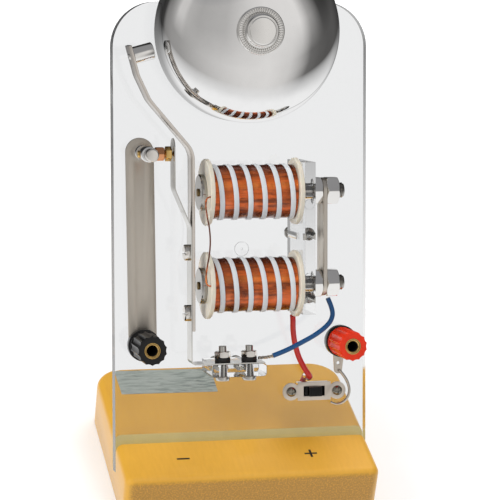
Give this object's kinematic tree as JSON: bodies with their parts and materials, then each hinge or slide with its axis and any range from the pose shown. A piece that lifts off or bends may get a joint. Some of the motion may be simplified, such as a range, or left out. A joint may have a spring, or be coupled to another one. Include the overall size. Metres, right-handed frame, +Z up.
{
  "type": "electric bell demonstrator",
  "caption": "Trembler bell laid open on a clear leaning panel in a wooden base: gong, hammer on a sprung armature, paired coils, contact screw, slide switch and terminals.",
  "frame": {"origin": "centre of the wooden base's underside", "axes": "+Z up, +X to the right and +Y to the back, as seen by someone who faces the gong"},
  "size_m": [0.1, 0.103, 0.2026],
  "materials": {
    "varnished_wood": "clear varnish over pale wood",
    "clear_acrylic": "clear, polished",
    "chrome_gong": "mirror polished",
    "nickel": "nickel plated, satin",
    "zinc": "zinc plated",
    "strip_steel": "plated strip, dull",
    "spring_steel": "bright rolled",
    "soft_iron": "turned, bare",
    "brass": "turned",
    "dark_brass": "dull",
    "copper_nut": "copper coloured plating",
    "copper_wire": "enamelled copper wire",
    "ivory_plastic": "moulded",
    "white_tape": "woven tape",
    "black_plastic": "moulded",
    "red_plastic": "moulded",
    "black_fibre": "moulded",
    "blue_insulation": "flexible sleeve",
    "red_insulation": "flexible sleeve",
    "tinned_wire": "tinned"
  },
  "bodies": {
    "frame": {"wooden_base": "varnished_wood", "clear_panel": "clear_acrylic", "gong": "chrome_gong", "gong_pillar": "nickel", "gong_bolt": "zinc", "gong_bolt_washer": "zinc", "gong_cap_nut": "nickel", "coil_bracket": "clear_acrylic", "bracket_screws": "zinc", "bobbin_upper": "ivory_plastic", "bobbin_lower": "ivory_plastic", "winding_upper": "copper_wire", "winding_lower": "copper_wire", "tape_upper": "white_tape", "tape_lower": "white_tape", "iron_core_upper": "soft_iron", "iron_core_lower": "soft_iron", "pole_pins": "dark_brass", "core_nuts_inner": "zinc", "core_nuts_outer": "zinc", "yoke_strip": "soft_iron", "leaf_foot": "spring_steel", "spring_shelf": "clear_acrylic", "shelf_screws": "zinc", "clamp_bolts": "zinc", "clamp_washers": "black_fibre", "clamp_nuts": "zinc", "link_strip": "strip_steel", "contact_post": "nickel", "post_clamp_screw": "nickel", "post_nut": "zinc", "contact_lock_nut": "copper_nut", "black_stem": "brass", "black_collar": "black_plastic", "red_stem": "brass", "red_collar": "black_plastic", "terminal_washers": "zinc", "terminal_nuts": "dark_brass", "solder_lug": "tinned_wire", "lug_wire": "tinned_wire", "switch_plate": "nickel", "switch_block": "black_fibre", "switch_screws": "zinc", "switch_tags": "tinned_wire", "blue_lead": "blue_insulation", "red_lead": "red_insulation", "coil_wire": "copper_wire"},
    "armature": {"armature_arm": "strip_steel", "hammer": "nickel", "contact_leaf": "spring_steel", "armature_screws": "zinc"},
    "switch_knob": {"switch_slider": "black_fibre"},
    "black_bush_carrier": {"black_cap_bush": "brass"},
    "black_cap_body": {"black_cap": "black_plastic"},
    "red_bush_carrier": {"red_cap_bush": "brass"},
    "red_cap_body": {"red_cap": "red_plastic"},
    "contact_screw_body": {"contact_screw": "brass"}
  },
  "joints": [
    {"name": "armature_swing", "type": "hinge", "parent": "frame", "child": "armature", "pos_m": [-0.0239, -0.01302, 0.06211], "axis": [0, 0.9063, -0.4226], "range_deg": [0, 1.4], "stiffness_Nm_per_rad": 0.5},
    {"name": "switch_slide", "type": "slide", "parent": "frame", "child": "switch_knob", "axis": [1, 0, 0], "range_m": [-0.0015, 0.0015]},
    {"name": "contact_screw_adjust", "type": "slide", "parent": "frame", "child": "contact_screw_body", "axis": [1, 0, 0], "range_m": [-0.0005, 0]},
    {"name": "black_cap_lift", "type": "slide", "parent": "frame", "child": "black_bush_carrier", "axis": [0, -0.9063, 0.4226], "range_m": [0, 0.003]},
    {"name": "black_cap_turn", "type": "hinge", "parent": "black_bush_carrier", "child": "black_cap_body", "pos_m": [-0.0392, -0.00254, 0.05667], "axis": [0, -0.9063, 0.4226], "range_deg": [0, 1085]},
    {"name": "red_cap_lift", "type": "slide", "parent": "frame", "child": "red_bush_carrier", "axis": [0, -0.9063, 0.4226], "range_m": [0, 0.003]},
    {"name": "red_cap_turn", "type": "hinge", "parent": "red_bush_carrier", "child": "red_cap_body", "pos_m": [0.0392, -0.00287, 0.05594], "axis": [0, -0.9063, 0.4226], "range_deg": [0, 1085]}
  ],
  "couplings": [
    {"joint": "black_cap_turn", "follows": "black_cap_lift", "rad_per_m": 6283.2},
    {"joint": "red_cap_turn", "follows": "red_cap_lift", "rad_per_m": 6283.2}
  ]
}
